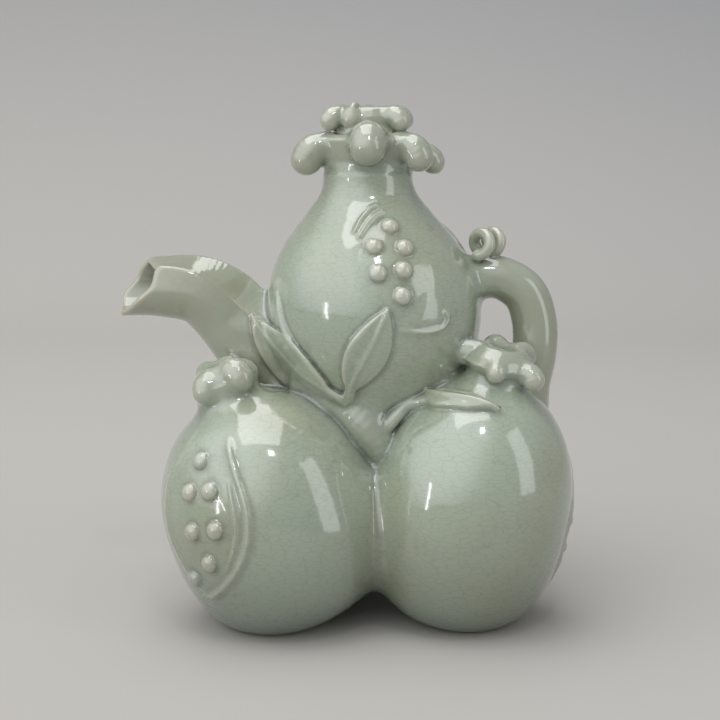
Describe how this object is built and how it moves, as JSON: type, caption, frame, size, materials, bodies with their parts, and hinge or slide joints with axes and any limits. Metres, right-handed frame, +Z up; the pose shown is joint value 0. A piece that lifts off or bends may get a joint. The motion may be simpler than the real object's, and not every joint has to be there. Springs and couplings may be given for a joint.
{
  "type": "ewer",
  "caption": "Celadon-glazed stoneware ewer shaped as stacked pomegranates, with a branch spout, a branch handle and a lift-off calyx lid.",
  "frame": {"origin": "middle of the bounding box at the height of the feet", "axes": "+Z up through the mouth; the spout points along -X, the handle along +X and the front of the ewer faces -Y"},
  "size_m": [0.1626, 0.1381, 0.1829],
  "materials": {
    "celadon_glaze": "glossy grey-green celadon glaze with a fine crackle",
    "seed_glaze": "the same glaze, thinner and paler over the raised seeds"
  },
  "bodies": {
    "ewer": {"crown_calyx": "celadon_glaze", "front_leaf": "celadon_glaze", "handle": "celadon_glaze", "handle_leaf": "celadon_glaze", "left_calyx": "celadon_glaze", "left_seed_1": "seed_glaze", "left_seed_2": "seed_glaze", "left_seed_3": "seed_glaze", "left_seed_4": "seed_glaze", "left_seed_5": "seed_glaze", "left_seed_6": "seed_glaze", "left_seed_7": "seed_glaze", "lower_left_fruit": "celadon_glaze", "lower_rear_fruit": "celadon_glaze", "lower_right_fruit": "celadon_glaze", "rear_calyx": "celadon_glaze", "rear_seed_1": "seed_glaze", "rear_seed_2": "seed_glaze", "rear_seed_3": "seed_glaze", "rear_seed_4": "seed_glaze", "rear_seed_5": "seed_glaze", "rear_seed_6": "seed_glaze", "rear_seed_7": "seed_glaze", "right_calyx": "celadon_glaze", "right_leaf": "celadon_glaze", "right_seed_1": "seed_glaze", "right_seed_2": "seed_glaze", "right_seed_3": "seed_glaze", "right_seed_4": "seed_glaze", "right_seed_5": "seed_glaze", "right_seed_6": "seed_glaze", "right_seed_7": "seed_glaze", "spout": "celadon_glaze", "spout_leaf": "celadon_glaze", "stem_knot": "celadon_glaze", "tendril": "celadon_glaze", "upper_fruit": "celadon_glaze", "upper_seed_1": "seed_glaze", "upper_seed_2": "seed_glaze", "upper_seed_3": "seed_glaze", "upper_seed_4": "seed_glaze", "upper_seed_5": "seed_glaze", "upper_seed_6": "seed_glaze"},
    "lid": {"lid": "celadon_glaze"}
  },
  "joints": [
    {"name": "lid_lift", "type": "slide", "parent": "ewer", "child": "lid", "axis": [0, 0, 1], "range_m": [0, 0.05]}
  ]
}
